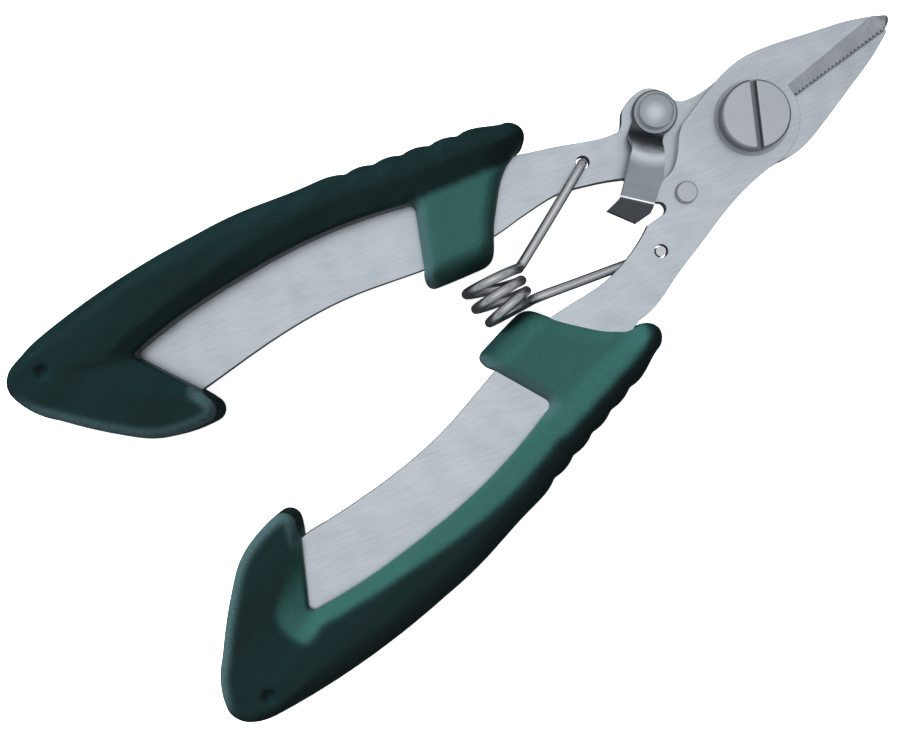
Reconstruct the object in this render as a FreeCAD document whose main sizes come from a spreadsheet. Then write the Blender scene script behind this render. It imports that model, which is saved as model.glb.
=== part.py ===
import FreeCAD, Part
import math
import os

import Sketcher

# Fishing pliers for split rings and braided line: two stamped steel halves that cross at a
# slotted screw, moulded C-shaped grips, a wire return spring between the tangs and a thumb latch.
# Frame: the pivot's axis is +Z, the jaws point to +X, and z = 0 is the plane that the closed
# pliers lie on. The back half carries the lower jaw and the upper (+Y) handle.

Vector = FreeCAD.Vector
doc = FreeCAD.newDocument("FishingPliers")
sheet = doc.addObject("Spreadsheet::Sheet", "Sizes")

# ---------------------------------------------------------------- driving sizes, in mm and degrees

SIZES = [
    # overall
    ("jaw_length", 24.1, "pivot axis to the front jaw's tip"),
    ("neck_length", 27.3, "pivot axis to the near end of the grips"),
    ("grip_length", 79.8, "near end of the grips to their far end"),
    ("grip_height", 10.0, "moulded grip, back to front"),
    ("handle_turn", -0.4, "how far both handles are turned about the pivot"),
    # stamped plates
    ("plate_thickness", 2.0, "each stamped plate"),
    ("back_plate_base", 3.0, "resting plane to the back plate"),
    ("plate_gap", 0.03, "play between parts that slide flat on each other"),
    ("hub_radius", 7.1, "round part of each plate about the pivot"),
    ("edge_land", 0.8, "thickness that the grinding leaves at a jaw's edge"),
    ("tooth_count", 25, "fine teeth along the front jaw's edge"),
    ("tooth_depth", 0.3, "depth of those teeth"),
    # pivot
    ("pivot_shank_radius", 2.45, "pivot screw's shank"),
    ("running_clearance", 0.05, "radial play of a turning fit"),
    ("pivot_head_radius", 4.8, "pivot screw's head"),
    ("head_ease", 0.25, "chamfer round the head's face"),
    ("pivot_head_height", 2.3, "pivot screw's head"),
    ("slot_width", 0.9, "screwdriver slot"),
    ("slot_depth", 1.0, "screwdriver slot"),
    ("slot_angle", 61.8, "slot's direction from +X"),
    ("pivot_washer_radius", 5.3, "washer under the head"),
    ("pivot_washer_thickness", 0.25, "washer under the head"),
    ("nut_flats", 8.5, "nut across its flats"),
    # thumb latch and its rivet
    ("rivet_reach", 10.4, "rivet behind the pivot, along X"),
    ("rivet_rise", 8.5, "rivet above the pivot, along Y"),
    ("rivet_shank_radius", 1.3, "rivet's shank"),
    ("rivet_head_radius", 2.45, "rivet's domed head"),
    ("rivet_wall", 1.1, "straight side of the rivet's head"),
    ("rivet_dome", 0.8, "rise of the dome above that"),
    ("rivet_tail_radius", 2.3, "rivet's tail behind the back plate"),
    ("rivet_tail_height", 0.8, "rivet's tail"),
    ("rivet_tail_ease", 0.3, "chamfer round the rivet's tail"),
    ("latch_washer_radius", 3.0, "washer under the rivet's head"),
    ("latch_washer_thickness", 0.2, "washer under the rivet's head"),
    ("latch_sheet", 0.9, "latch's sheet"),
    ("latch_angle", 222.0, "latch's direction from +X"),
    ("latch_end_radius", 3.2, "latch's round end about the rivet"),
    ("latch_reach", 13.2, "rivet to the bend of the latch's tab"),
    ("latch_tab", 2.4, "how far the tab stands out past its bend"),
    ("latch_lift", 0.07, "play between the latch and the front plate"),
    ("latch_tab_gap", 0.15, "play between the latch's tab and the back plate's face"),
    ("latch_step_start", 3.5, "rivet to where the latch starts to step up"),
    ("latch_step_end", 5.6, "rivet to where the step ends"),
    ("latch_step_lean", 0.4, "how much nearer the step lies on the latch's upper face"),
    # stop pin
    ("pin_radius", 1.5, "stop pin"),
    ("pin_reach", 13.6, "stop pin behind the pivot, along X"),
    ("pin_drop", 3.3, "stop pin below the pivot, along Y"),
    ("pin_proud", 1.0, "stop pin in front of the front plate"),
    ("pin_setback", 0.2, "stop pin's rear end in front of the back plate's rear face"),
    ("stop_gap", 0.05, "stop pin to its seat with the jaws closed"),
    # return spring
    ("wire_radius", 0.72, "spring wire"),
    ("spring_hole_radius", 0.95, "holes that the wire's ends hook into"),
    ("back_hook_reach", 22.6, "spring hole of the back plate, along X"),
    ("back_hook_rise", 8.65, "spring hole of the back plate, along Y"),
    ("front_hook_reach", 21.1, "spring hole of the front plate, along X"),
    ("front_hook_drop", 8.0, "spring hole of the front plate, along Y"),
    # grips
    ("bridge_step", 1.2, "how much lower the grip's bridge is than its rail"),
    ("dimple_radius", 1.1, "moulding dimple near the grip's far end"),
    ("dimple_depth", 0.8, "moulding dimple"),
    ("bump_count", 4, "finger bumps on each grip"),
    ("bump_rise", 0.38, "rise of a bump over the notches beside it"),
]
for row, (alias, value, note) in enumerate(SIZES, start=1):
    sheet.set(f"A{row}", alias)
    sheet.set(f"B{row}", str(value))
    sheet.set(f"C{row}", note)
    sheet.setAlias(f"B{row}", alias)
doc.recompute()


def size(alias):
    return float(sheet.get(alias))


# Levels along Z. The plates lie one on the other with a little play, and the latch runs over both.
back_face = size("back_plate_base") + size("plate_thickness")
front_base = back_face + size("plate_gap")
front_face = front_base + size("plate_thickness")
head_base = front_face + size("plate_gap") + size("pivot_washer_thickness")
bore_radius = size("pivot_shank_radius") + size("running_clearance")
rivet_at = Vector(-size("rivet_reach"), size("rivet_rise"), 0)
pin_at = Vector(-size("pin_reach"), -size("pin_drop"), 0)
back_hook = Vector(-size("back_hook_reach"), size("back_hook_rise"), 0)
front_hook = Vector(-size("front_hook_reach"), -size("front_hook_drop"), 0)

DRAWN_JAW = 24.1
DRAWN_NECK = 27.3
DRAWN_GRIP = 79.8


def jaw(x, y):
    """A point of a jaw, drawn for a jaw of DRAWN_JAW: past the hub it moves with the jaw's length."""
    hub = size("hub_radius")
    if x > hub:
        x = hub + (x - hub) * (size("jaw_length") - hub) / (DRAWN_JAW - hub)
    return (x, y)


def handle(x, y, side):
    """A point of a handle, drawn above the centre line, put on its own side (+1 upper, -1 lower)."""
    if x < -DRAWN_NECK:
        x = -size("neck_length") + (x + DRAWN_NECK) * size("grip_length") / DRAWN_GRIP
    turn = math.radians(size("handle_turn"))
    y *= side
    return (x * math.cos(turn) - y * math.sin(turn), x * math.sin(turn) + y * math.cos(turn))


def handles(points, side):
    return [handle(x, y, side) for x, y in points]


# ---------------------------------------------------------------- ways of making things


def make_body(label):
    body = doc.addObject("PartDesign::Body", label)
    body.Label = label
    return body


def plane_of(body, role):
    return next(f for f in body.Origin.OriginFeatures if f.Role == role)


def add_sketch(body, name, role="XY_Plane", height=None):
    """A sketch on one of the body's own planes, lifted off it by an expression."""
    sketch = body.newObject("Sketcher::SketchObject", name)
    sketch.AttachmentSupport = [(plane_of(body, role), "")]
    sketch.MapMode = "FlatFace"
    if height is not None:
        sketch.setExpression(".AttachmentOffset.Base.z", height)
    return sketch


def flat(point):
    return Vector(point[0], point[1], 0)


def draw(sketch, start, *stretches):
    """A closed outline: ("line", points), ("curve", points) or ("arc", middle, end) in turn."""
    at = flat(start)
    for kind, *rest in stretches:
        if kind == "line":
            for point in rest[0]:
                sketch.addGeometry(Part.LineSegment(at, flat(point)), False)
                at = flat(point)
        elif kind == "arc":
            middle, end = flat(rest[0]), flat(rest[1])
            sketch.addGeometry(Part.Arc(at, middle, end), False)
            at = end
        else:
            curve = Part.BSplineCurve()
            curve.interpolate([at] + [flat(point) for point in rest[0]])
            sketch.addGeometry(curve, False)
            at = flat(rest[0][-1])


def draw_circle(sketch, centre, radius_cell, extra=""):
    """A circle whose radius is bound to a cell of the sheet."""
    circle = sketch.addGeometry(Part.Circle(flat(centre), Vector(0, 0, 1), size(radius_cell)), False)
    number = sketch.addConstraint(Sketcher.Constraint("Radius", circle, size(radius_cell)))
    sketch.setExpression(f"Constraints[{number}]", f"Sizes.{radius_cell}{extra}")


def pad(body, name, sketch, length):
    feature = body.newObject("PartDesign::Pad", name)
    feature.Profile = sketch
    feature.setExpression("Length", length)
    doc.recompute()
    return feature


def pocket(body, name, sketch, length=None, reverse=False):
    """A pocket of the given depth, or through everything both ways."""
    before = body.Shape.Volume
    feature = body.newObject("PartDesign::Pocket", name)
    feature.Profile = sketch
    feature.Reversed = reverse
    if length is None:
        feature.Type = "ThroughAll"
        feature.Midplane = True
    else:
        feature.setExpression("Length", length)
    doc.recompute()
    if body.Shape.Volume >= before:
        raise RuntimeError(f"{name} cut nothing")
    return feature


def revolve(body, name, profile):
    """A turned piece: a profile of (radius, height) corners turned about the body's Z axis."""
    sketch = add_sketch(body, name + "_profile", "XZ_Plane")
    draw(sketch, profile[0], ("line", profile[1:] + profile[:1]))
    feature = body.newObject("PartDesign::Revolution", name)
    feature.Profile = sketch
    feature.ReferenceAxis = (sketch, ["V_Axis"])
    feature.Angle = 360.0
    doc.recompute()
    return feature


def grind(body, name, face_z, edge_z, heel, tip):
    """The bevel ground along a jaw: heel and tip are each (x, y of the bevel's top, y of its edge).

    The cut runs on past the edge by half the bevel's width, at the same slope.
    """
    rise = face_z - edge_z
    sections = []
    for end, (x, top_y, edge_y) in (("heel", heel), ("tip", tip)):
        past = edge_y + (edge_y - top_y) / 2
        sketch = add_sketch(body, f"{name}_{end}", "YZ_Plane")
        sketch.AttachmentOffset = FreeCAD.Placement(Vector(0, 0, x), FreeCAD.Rotation())
        corners = [(top_y, face_z), (past, edge_z - rise / 2), (past, face_z + rise), (top_y, face_z + rise)]
        draw(sketch, corners[0], ("line", corners[1:] + corners[:1]))
        sections.append(sketch)
    before = body.Shape.Volume
    feature = body.newObject("PartDesign::SubtractiveLoft", name)
    feature.Profile = sections[0]
    feature.Sections = sections[1:]
    feature.Ruled = True
    doc.recompute()
    if body.Shape.Volume >= before:
        raise RuntimeError(f"{name} cut nothing")


# ---------------------------------------------------------------- stamped plates

# The tang inside each grip, drawn for the upper handle. Its inner edge is bare between the grip's
# bridge and its hook; its outer edge lies inside the moulded rail.
TANG_OUTER = [(-29.2, 14.4), (-33.0, 16.0), (-45.0, 19.9), (-56.0, 22.9)]
TANG_OUTER += [(-68.0, 24.9), (-80.0, 25.6), (-90.0, 25.0)]
TANG_END = [(-93.4, 21.8), (-92.8, 17.4), (-89.6, 13.8), (-85.3, 12.6)]
TANG_INNER = [(-81.3, 12.7), (-74.6, 12.8), (-67.4, 12.5), (-60.3, 11.5)]
TANG_INNER += [(-53.0, 9.6), (-46.0, 7.9), (-40.0, 7.1), (-35.0, 7.1)]


def front_plate():
    """Upper jaw and lower tang, with the fine-toothed edge, the latch's notch and the stop pin's hole."""
    body = make_body("front_plate")
    base = "Sizes.back_plate_base + Sizes.plate_thickness + Sizes.plate_gap"
    sketch = add_sketch(body, "front_outline", height=base)
    heel, edge_end = (6.75, -0.8), jaw(23.0, -0.35)
    teeth = []
    count = int(size("tooth_count"))
    for number in range(count):
        for share, depth in ((0.5, size("tooth_depth")), (1.0, 0.0)):
            along = (number + share) / count
            x = heel[0] + (edge_end[0] - heel[0]) * along
            y = heel[1] + (edge_end[1] - heel[1]) * along
            teeth.append((x, y - depth))
    hub = size("hub_radius")
    hub_start = (-0.4, -math.sqrt(hub**2 - 0.4**2))
    draw(
        sketch,
        heel,
        ("line", teeth),
        ("curve", [jaw(23.8, 0.05), jaw(24.1, 0.65), jaw(23.7, 1.2)]),
        ("curve", [jaw(21.3, 2.4), jaw(18.0, 3.8), jaw(14.4, 4.9), jaw(8.0, 6.9), (5.0, 7.6)]),
        ("curve", [(2.0, 7.7), (-0.9, 7.2)]),
        ("curve", [(-3.5, 6.5), (-6.0, 5.7), (-8.4, 4.9)]),
        ("curve", [(-9.4, 4.2), (-11.2, 2.1), (-13.1, 0.5), (-14.9, 0.1)]),
        # the finger that the latch's tab hooks over, and the notch behind it
        ("line", [(-18.1, -0.6)]),
        ("arc", (-18.65, -0.85), (-18.55, -1.4)),
        ("line", [(-17.4, -2.2)]),
        ("arc", (-17.0, -3.2), (-17.8, -3.95)),
        ("line", [(-20.5, -3.95)]),
        ("curve", [(-23.5, -5.4), (-26.2, -6.3), (-30.0, -7.0)] + handles(TANG_INNER[::-1], -1)),
        ("curve", handles(TANG_END[::-1], -1)),
        ("curve", handles(TANG_OUTER[::-1], -1)),
        ("curve", [(-24.9, -13.5), (-21.6, -12.2), (-17.7, -10.9), (-12.3, -9.1)]),
        ("curve", [(-7.5, -7.8), (-3.4, -7.2), hub_start]),
        ("arc", (hub * 0.68, -hub * 0.68), heel),
    )
    draw_circle(sketch, (0, 0), "pivot_shank_radius", " + Sizes.running_clearance")
    draw_circle(sketch, pin_at, "pin_radius")
    draw_circle(sketch, front_hook, "spring_hole_radius")
    pad(body, "front_pad", sketch, "Sizes.plate_thickness")
    grind(
        body,
        "front_bevel",
        front_face,
        front_base + size("edge_land"),
        (heel[0], 0.9, heel[1]),
        (size("jaw_length") + 1.0, 2.4, -0.3),
    )
    return body


def back_plate():
    """Lower jaw and upper tang, with the lobe that carries the latch's rivet and the stop pin's seat."""
    body = make_body("back_plate")
    sketch = add_sketch(body, "back_outline", height="Sizes.back_plate_base")
    # the seat lies square to the stop pin's path, a small gap ahead of the pin
    reach = math.hypot(pin_at.x, pin_at.y)
    out = Vector(pin_at.x / reach, pin_at.y / reach, 0)
    ahead = Vector(out.y, -out.x, 0)
    seat = pin_at + ahead * (size("pin_radius") + size("stop_gap"))
    seat_far, seat_near = seat + out * size("pin_radius"), seat - out * size("pin_radius") * 1.3
    hub = size("hub_radius") + 0.2
    top_lobe = rivet_at + Vector(0.3, 3.9, 0)
    draw(
        sketch,
        jaw(23.2, 0.2),
        ("line", [jaw(9.0, 1.1), (hub * 0.97, hub * 0.243)]),
        ("arc", (hub * 0.7, hub * 0.714), (-0.2, hub)),
        ("curve", [(-2.3, 7.2), (-4.3, 7.3), (-6.0, 7.7)]),
        ("curve", [(-6.9, 8.7), (-7.4, 10.1), (-8.3, 11.5), top_lobe]),
        ("curve", [(-12.2, 12.2), (-14.1, 11.2), (-15.2, 9.8), (-16.3, 9.4)]),
        ("curve", [(-19.3, 10.3), (-22.3, 11.7), (-25.1, 13.0)] + handles(TANG_OUTER, 1)),
        ("curve", handles(TANG_END, 1)),
        ("curve", handles(TANG_INNER, 1)),
        ("curve", [(-31.0, 7.3), (-27.9, 7.0), (-24.5, 5.9), (-21.4, 4.6), (-19.1, 3.4)]),
        ("line", [seat_far, seat_near]),
        ("curve", [(-8.4, -4.0), (-4.2, -6.3), (0.3, -7.2)]),
        ("curve", [(4.6, -7.4), jaw(7.8, -6.6), jaw(12.7, -5.0), jaw(17.0, -3.6)]),
        ("curve", [jaw(21.2, -2.0), jaw(23.4, -0.9)]),
        ("line", [jaw(23.6, -0.3), jaw(23.2, 0.2)]),
    )
    draw_circle(sketch, (0, 0), "pivot_shank_radius", " + Sizes.running_clearance")
    draw_circle(sketch, rivet_at, "rivet_shank_radius")
    draw_circle(sketch, back_hook, "spring_hole_radius")
    pad(body, "back_pad", sketch, "Sizes.plate_thickness")
    grind(
        body,
        "back_bevel",
        size("back_plate_base"),
        back_face - size("edge_land"),
        (hub, -1.0, 1.3),
        (size("jaw_length") + 1.0, -1.4, 0.1),
    )
    return body


# ---------------------------------------------------------------- moulded grips

# A grip, drawn for the upper handle, is a C: a thick outer rail, a bridge across the tang at the
# neck and a hook at the far end. The steel shows in the window between them.
GRIP_FIRST_NOTCH = (-35.5, 21.4)
GRIP_LAST_NOTCH = (-51.4, 25.9)
GRIP_DIMPLE = (-101.3, 26.6)


def finger_bumps(side):
    """The finger bumps between the first and the last notch, as arcs that stand out of the rail."""
    count = int(size("bump_count"))
    first, last = flat(GRIP_FIRST_NOTCH), flat(GRIP_LAST_NOTCH)
    along = (last - first).normalize()
    rise = Vector(along.y, -along.x, 0) * size("bump_rise")
    arcs = []
    for number in range(count):
        middle = first + (last - first) * ((number + 0.5) / count) + rise
        end = first + (last - first) * ((number + 1) / count)
        arcs.append(("arc", handle(middle.x, middle.y, side), handle(end.x, end.y, side)))
    return arcs


def grip(label, side, plate):
    """One moulded grip, with the plate's own shape taken out of it."""
    blank = make_body(label + "_blank")
    sketch = add_sketch(blank, label + "_outline")
    draw(
        sketch,
        handle(-29.5, 14.9, side),
        ("curve", handles([(-28.2, 15.4), (-27.35, 16.8), (-27.8, 18.3), (-29.4, 19.3)], side)),
        ("curve", handles([(-32.2, 20.7), (-34.2, 21.4), GRIP_FIRST_NOTCH], side)),
        *finger_bumps(side),
        ("curve", handles([(-52.6, 26.6), (-57.0, 27.7), (-65.0, 29.6), (-73.5, 30.9)], side)),
        ("curve", handles([(-82.0, 31.7), (-91.0, 31.9), (-99.0, 31.5)], side)),
        ("curve", handles([(-103.6, 30.6), (-106.2, 28.9), (-107.1, 26.7)], side)),
        ("curve", handles([(-106.3, 23.8), (-103.6, 20.0)], side)),
        ("curve", handles([(-100.4, 16.3), (-97.0, 12.8), (-94.2, 10.4), (-91.0, 8.9), (-86.2, 7.9)], side)),
        ("arc", handle(-84.6, 8.9, side), handle(-84.6, 10.6, side)),
        ("line", handles([(-85.3, 12.5), (-89.7, 20.7)], side)),
        ("arc", handle(-89.8, 21.7, side), handle(-88.9, 22.0, side)),
        ("curve", handles([(-80.0, 22.5), (-71.5, 22.2), (-63.0, 21.4), (-55.5, 20.0), (-47.1, 17.5)], side)),
        ("arc", handle(-46.2, 16.9, side), handle(-46.3, 15.9, side)),
        ("line", handles([(-49.9, 8.5)], side)),
        ("curve", handles([(-50.6, 7.4), (-50.7, 6.3), (-49.9, 5.5)], side)),
        ("curve", handles([(-46.3, 4.7), (-42.8, 4.0)], side)),
        ("curve", handles([(-41.2, 4.3), (-39.2, 6.8), (-36.2, 10.4), (-33.6, 13.0), (-29.5, 14.9)], side)),
    )
    pad(blank, label + "_pad", sketch, "Sizes.grip_height")
    # the bridge is stepped lower than the rail, at the front and at the back
    bridge = [(-40.5, 14.2), (-46.2, 16.6), (-53.0, 9.0), (-52.0, 2.0), (-34.0, 2.0), (-34.2, 9.6)]
    for face, height, back in (("front", "Sizes.grip_height", False), ("rear", None, True)):
        step = add_sketch(blank, f"{label}_{face}_step", height=height)
        corners = handles(bridge, side)
        draw(step, corners[0], ("line", corners[1:] + corners[:1]))
        pocket(blank, f"{label}_{face}_bridge", step, "Sizes.bridge_step", reverse=back)
    dimple = add_sketch(blank, label + "_dimple", height="Sizes.grip_height")
    draw_circle(dimple, handle(*GRIP_DIMPLE, side), "dimple_radius")
    pocket(blank, label + "_dimple_pocket", dimple, "Sizes.dimple_depth")

    cut = doc.addObject("Part::Cut", label)
    cut.Label = label
    cut.Base = blank
    cut.Tool = plate
    doc.recompute()
    return cut


# ---------------------------------------------------------------- pivot


def pivot_screw():
    """Slotted cheese-head screw: its shank runs through both plates into the nut."""
    body = make_body("pivot_screw")
    shank, head = size("pivot_shank_radius"), size("pivot_head_radius")
    top = head_base + size("pivot_head_height")
    ease = size("head_ease")
    shank_side = [(0, 0), (shank, 0), (shank, head_base)]
    head_side = [(head, head_base), (head, top - ease), (head - ease, top), (0, top)]
    revolve(body, "screw_turned", shank_side + head_side)
    slot = add_sketch(body, "slot")
    slot.AttachmentOffset = FreeCAD.Placement(
        Vector(0, 0, top), FreeCAD.Rotation(Vector(0, 0, 1), size("slot_angle"))
    )
    half, reach = size("slot_width") / 2, head * 1.2
    corners = [(-reach, -half), (reach, -half), (reach, half), (-reach, half)]
    draw(slot, corners[0], ("line", corners[1:] + corners[:1]))
    pocket(body, "slot_pocket", slot, "Sizes.slot_depth")
    return body


def ring(label, inner, outer, base, height):
    """A washer, as one tube cut out of another."""
    disc = doc.addObject("Part::Cylinder", label + "_disc")
    disc.setExpression("Radius", outer)
    disc.setExpression("Height", height)
    hole = doc.addObject("Part::Cylinder", label + "_hole")
    hole.setExpression("Radius", inner)
    hole.setExpression("Height", height)
    washer = doc.addObject("Part::Cut", label)
    washer.Label = label
    washer.Base, washer.Tool = disc, hole
    washer.Placement = FreeCAD.Placement(base, FreeCAD.Rotation())
    doc.recompute()
    return washer


def pivot_nut():
    """Hexagonal nut behind the back plate. Its rear face lies in the resting plane."""
    body = make_body("pivot_nut")
    sketch = add_sketch(body, "nut_outline")
    corner = size("nut_flats") / math.sqrt(3)
    corners = [
        (corner * math.cos(math.radians(60 * number)), corner * math.sin(math.radians(60 * number)))
        for number in range(6)
    ]
    draw(sketch, corners[0], ("line", corners[1:] + corners[:1]))
    draw_circle(sketch, (0, 0), "pivot_shank_radius")
    pad(body, "nut_pad", sketch, "Sizes.back_plate_base - Sizes.plate_gap")
    return body


# ---------------------------------------------------------------- latch, rivet and stop pin


def latch():
    """Thumb latch: a strip that steps up over the front plate, with a tab bent down at its end."""
    body = make_body("latch")
    sheet_thickness, reach = size("latch_sheet"), size("latch_reach")
    low = back_face + size("plate_gap")
    high = front_face + size("latch_lift")
    tab_z = back_face + size("latch_tab_gap")
    tab = size("latch_tab")
    step_start, step_end = size("latch_step_start"), size("latch_step_end")
    step_lean = size("latch_step_lean")
    end = size("latch_end_radius")
    slope = math.atan2(high - tab_z, tab)
    lean = sheet_thickness * math.tan(slope / 2)
    profile = [
        (-end - 1, low),
        (step_start, low),
        (step_end, high),
        (reach - lean, high),
        (reach - lean + tab, tab_z),
        (reach - lean + tab + sheet_thickness / math.sin(slope), tab_z),
        (reach, high + sheet_thickness),
        (step_end - step_lean, high + sheet_thickness),
        (step_start - step_lean, low + sheet_thickness),
        (-end - 1, low + sheet_thickness),
    ]
    side = add_sketch(body, "latch_side", "XZ_Plane")
    draw(side, profile[0], ("line", profile[1:] + profile[:1]))
    strip = pad(body, "latch_pad", side, "4 * Sizes.latch_end_radius")
    strip.Midplane = True
    doc.recompute()
    # what lies outside the latch's plan is cut away, and the rivet's hole with it
    plan = add_sketch(body, "latch_plan")
    far = reach + tab + 3 * end
    frame = [(-3 * end, -3 * end), (far, -3 * end), (far, 3 * end), (-3 * end, 3 * end)]
    draw(plan, frame[0], ("line", frame[1:] + frame[:1]))
    draw(
        plan,
        (1.6, -math.sqrt(end**2 - 1.6**2)),
        ("line", [(3.7, -3.05)]),
        ("curve", [(4.7, -2.8), (5.6, -2.3), (6.8, -2.15)]),
        ("line", [(reach, -2.25), (reach + 1.9, -3.5), (reach + 2.7, 0.9), (reach + 1.0, 2.45)]),
        ("line", [(reach - 0.4, 2.6), (9.4, 2.9)]),
        ("curve", [(7.8, 2.8), (5.6, 2.3), (3.9, 1.9), (2.3, math.sqrt(end**2 - 2.3**2))]),
        ("arc", (-end, 0), (1.6, -math.sqrt(end**2 - 1.6**2))),
    )
    draw_circle(plan, (0, 0), "rivet_shank_radius", " + Sizes.running_clearance")
    pocket(body, "latch_trim", plan)
    body.Placement = FreeCAD.Placement(rivet_at, FreeCAD.Rotation(Vector(0, 0, 1), size("latch_angle")))
    doc.recompute()
    return body


def latch_rivet():
    """Domed rivet: its tail is closed behind the back plate."""
    body = make_body("latch_rivet")
    shank, head, tail = (size(f"rivet_{part}_radius") for part in ("shank", "head", "tail"))
    base = back_face + 3 * size("plate_gap") + size("latch_sheet") + size("latch_washer_thickness")
    wall_top = base + size("rivet_wall")
    rise = size("rivet_dome")
    dome_radius = (head**2 + rise**2) / (2 * rise)
    tail_top = size("back_plate_base")
    tail_base = tail_top - size("rivet_tail_height")
    sketch = add_sketch(body, "rivet_profile", "XZ_Plane")
    crown = wall_top + rise
    halfway = head / 2
    ease = size("rivet_tail_ease")
    draw(
        sketch,
        (0, tail_base),
        ("line", [(tail - ease, tail_base), (tail, tail_base + ease), (tail, tail_top)]),
        ("line", [(shank, tail_top), (shank, base)]),
        ("line", [(head, base), (head, wall_top)]),
        ("arc", (halfway, crown - dome_radius + math.sqrt(dome_radius**2 - halfway**2)), (0, crown)),
        ("line", [(0, tail_base)]),
    )
    turned = body.newObject("PartDesign::Revolution", "rivet_turned")
    turned.Profile = sketch
    turned.ReferenceAxis = (sketch, ["V_Axis"])
    turned.Angle = 360.0
    body.Placement = FreeCAD.Placement(rivet_at, FreeCAD.Rotation())
    doc.recompute()
    return body


def stop_pin():
    """Pin pressed through the front plate: behind it, it meets the back plate's seat."""
    pin = doc.addObject("Part::Cylinder", "stop_pin")
    pin.Label = "stop_pin"
    pin.setExpression("Radius", "Sizes.pin_radius")
    pin.setExpression("Height", "2 * Sizes.plate_thickness + Sizes.pin_proud - Sizes.pin_setback")
    base = size("back_plate_base") + size("plate_gap") + size("pin_setback")
    pin.Placement = FreeCAD.Placement(Vector(pin_at.x, pin_at.y, base), FreeCAD.Rotation())
    doc.recompute()
    return pin


# ---------------------------------------------------------------- return spring


# How far a hook's bend may reach into its hole, and how far its end stays inside the plate's face.
HOOK_LEAD = 0.3
HOOK_END_INSET = 0.3
# The wire's bends, as multiples of its radius, and how far a corner lies from a loop's end.
TIGHT_BEND = 1.6
GENTLE_BEND = 6
LOOP_LEAD = 1.4
# The loops' ends, each lying at the coil's middle height, from the upper leg to the lower one.
LOOP_ENDS = [(-38.7, 1.5), (-46.9, 2.8), (-39.3, -0.1), (-47.0, 0.3), (-39.6, -1.7)]
LOOP_ENDS += [(-46.5, -2.4), (-39.7, -3.2)]
NECK_CORNER = (-27.0, -6.4)


def bend(corner, before, after, radius):
    """The arc that rounds a corner of the wire, as its start, middle and end."""
    back, ahead = (before - corner).normalize(), (after - corner).normalize()
    half = back.getAngle(ahead) / 2
    setback = radius / math.tan(half)
    middle_way = (back + ahead).normalize()
    centre = corner + middle_way * (radius / math.sin(half))
    return corner + back * setback, centre - middle_way * radius, corner + ahead * setback


def round_corners(at, corners, edges):
    """Adds straight runs and arcs for (corner, before, after, radius) in turn, and says where they end."""
    for corner, before, after, radius in corners:
        start, turn, end = bend(corner, before, after, radius)
        edges.append(Part.LineSegment(at, start).toShape())
        edges.append(Part.Arc(start, turn, end).toShape())
        at = end
    return at


def spring_path():
    """The wire's centre line: a hook, a leg, three loops that fan out, a leg and a hook."""
    middle = size("grip_height") / 2
    ends = [Vector(x, y, middle) for x, y in LOOP_ENDS]
    tight = size("wire_radius") * TIGHT_BEND
    gentle = size("wire_radius") * GENTLE_BEND
    rise = Vector(0, 0, 1)
    # the upper leg passes in front of its tang, then dips to the first loop
    hook_start = back_hook + rise * (size("back_plate_base") + HOOK_END_INSET)
    back_corner = back_hook + rise * (back_face + tight - HOOK_LEAD)
    first_corner = ends[0] - rise * tight * LOOP_LEAD
    dip = back_corner + (ends[0] - back_corner) * 0.5
    dip.z = back_corner.z
    edges = []
    at = round_corners(
        hook_start,
        [
            (back_corner, hook_start, dip, tight),
            (dip, back_corner, first_corner, gentle),
            (first_corner, dip, ends[0], tight),
        ],
        edges,
    )
    edges.append(Part.LineSegment(at, ends[0]).toShape())
    for number, (start, end) in enumerate(zip(ends, ends[1:])):
        over = 1 if number % 2 == 0 else -1
        top = (start + end) * 0.5 + rise * over * (end - start).Length / 2
        edges.append(Part.Arc(start, top, end).toShape())
    # the lower leg passes behind its tang and hooks forward
    last_corner = ends[-1] + rise * tight * LOOP_LEAD
    front_corner = front_hook + rise * (front_base - tight + HOOK_LEAD)
    hook_end = front_hook + rise * (front_face - HOOK_END_INSET)
    neck_corner = Vector(*NECK_CORNER, front_corner.z)
    at = round_corners(
        ends[-1],
        [
            (last_corner, ends[-1], neck_corner, tight),
            (neck_corner, last_corner, front_corner, gentle),
            (front_corner, neck_corner, hook_end, tight),
        ],
        edges,
    )
    edges.append(Part.LineSegment(at, hook_end).toShape())
    return Part.Wire(edges)


def return_spring():
    """Round wire swept along the spring's centre line."""
    path = doc.addObject("Part::Feature", "spring_centre_line")
    path.Shape = spring_path()
    section = doc.addObject("Part::Circle", "spring_section")
    section.setExpression("Radius", "Sizes.wire_radius")
    section.Placement = FreeCAD.Placement(path.Shape.Edges[0].Vertexes[0].Point, FreeCAD.Rotation())
    doc.recompute()
    spring = doc.addObject("Part::Sweep", "return_spring")
    spring.Label = "return_spring"
    spring.Sections = [section]
    spring.Spine = (path, [f"Edge{number}" for number in range(1, len(path.Shape.Edges) + 1)])
    spring.Solid = True
    spring.Frenet = False
    doc.recompute()
    length = path.Shape.Length
    expected = math.pi * size("wire_radius") ** 2 * length
    print(f"spring wire {length:.1f} mm long, volume {spring.Shape.Volume:.1f} of {expected:.1f} mm3")
    return spring


# ---------------------------------------------------------------- the assembly

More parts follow.
